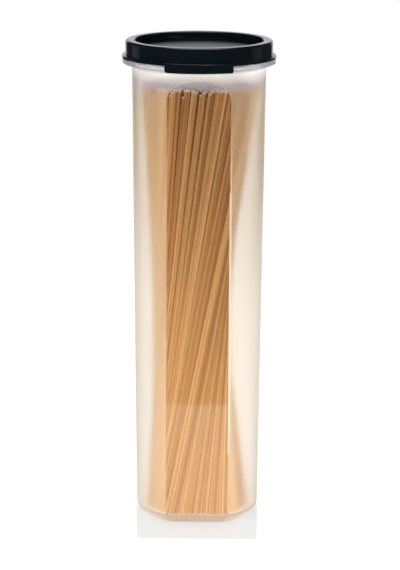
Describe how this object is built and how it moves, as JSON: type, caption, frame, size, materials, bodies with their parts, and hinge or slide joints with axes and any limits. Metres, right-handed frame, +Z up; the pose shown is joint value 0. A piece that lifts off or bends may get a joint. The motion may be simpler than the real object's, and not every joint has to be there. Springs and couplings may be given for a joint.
{
  "type": "food canister",
  "caption": "Tall tapered frosted canister with clear flat window panels and a black press-fit lid with a pull tab, holding a twisted bundle of dry spaghetti.",
  "frame": {"origin": "middle of the container's flat underside, which stands on the table", "axes": "+Z up along the canister's axis, the front window and the lid's tab towards -Y"},
  "size_m": [0.09, 0.09, 0.2844],
  "materials": {
    "frosted_plastic": "frosted translucent, polished clear on the flats",
    "black_plastic": "glossy",
    "dry_pasta": "satin"
  },
  "bodies": {
    "container": {"container": "frosted_plastic"},
    "lid": {"lid": "black_plastic"},
    "spaghetti": {"spaghetti_bundle": "dry_pasta"}
  },
  "joints": [
    {"name": "lid_lift", "type": "slide", "parent": "container", "child": "lid", "axis": [0, 0, 1], "range_m": [0, 0.1]},
    {"name": "spaghetti_shift", "type": "slide", "parent": "container", "child": "spaghetti", "axis": [0, 0, 1], "range_m": [0, 0.012]}
  ]
}
